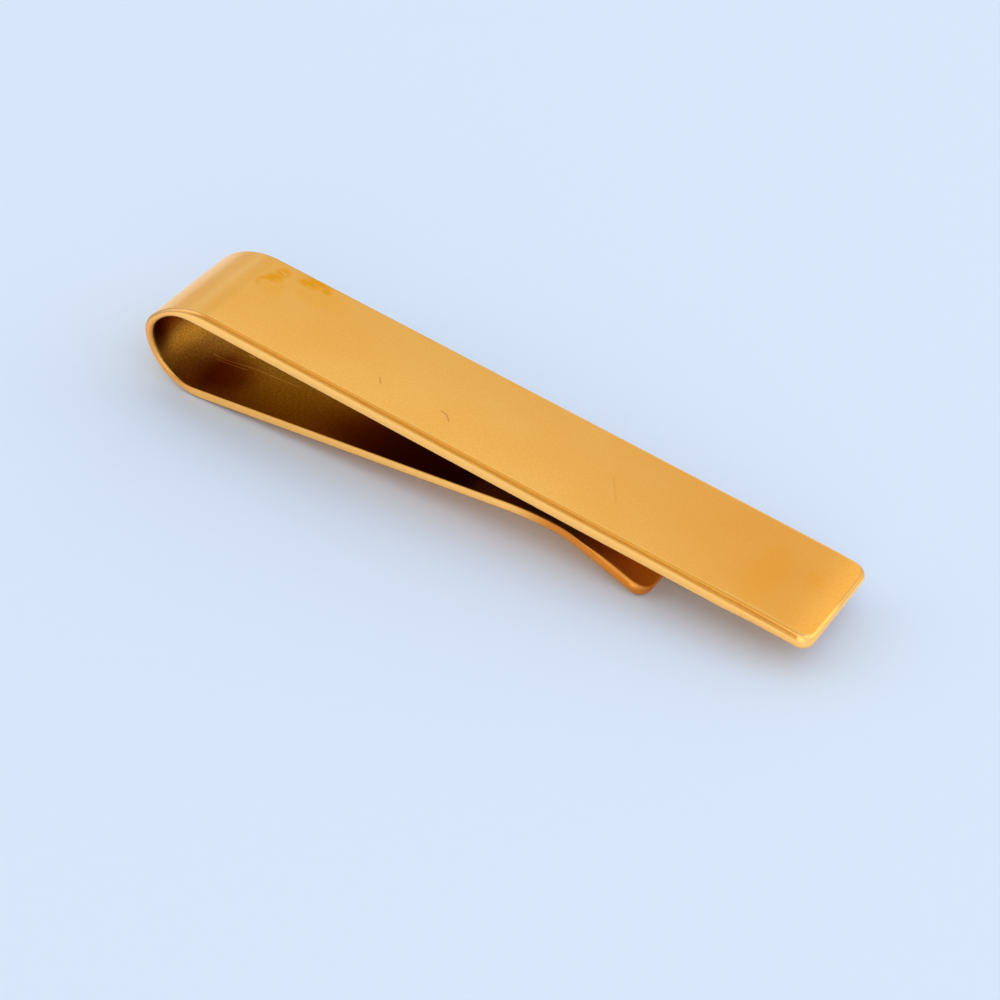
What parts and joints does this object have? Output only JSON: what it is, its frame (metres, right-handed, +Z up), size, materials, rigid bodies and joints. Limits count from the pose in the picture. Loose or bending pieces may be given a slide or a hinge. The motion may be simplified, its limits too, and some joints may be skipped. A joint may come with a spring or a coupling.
{
  "type": "tie clip",
  "caption": "Slide-on tie clip: one gilt metal strip bent round into a springy loop, with a flat front bar and a tongue that presses the cloth at its crest.",
  "frame": {"origin": "on the table, midway along the clip and midway across its strip", "axes": "+X along the clip from the spring bend to the bar's free end, +Y across the strip, +Z up off the table; the bar falls 5.6 degrees towards +X, because the clip rests on its bend and on the end of its lip"},
  "size_m": [0.0554, 0.009, 0.008],
  "materials": {
    "gilt_brass": "gold-plated, polished"
  },
  "bodies": {
    "tongue": {"tongue_leaf": "gilt_brass", "grip_crest": "gilt_brass", "lead_in_lip": "gilt_brass"},
    "front": {"front_bar": "gilt_brass", "spring_bend": "gilt_brass"}
  },
  "joints": [
    {"name": "tongue_flex", "type": "hinge", "parent": "tongue", "child": "front", "pos_m": [-0.02305, 0, 0.00465], "axis": [0, -1, 0], "range_deg": [-0.95, 7], "stiffness_Nm_per_rad": 1.5, "deforming": ["spring_bend"]}
  ]
}
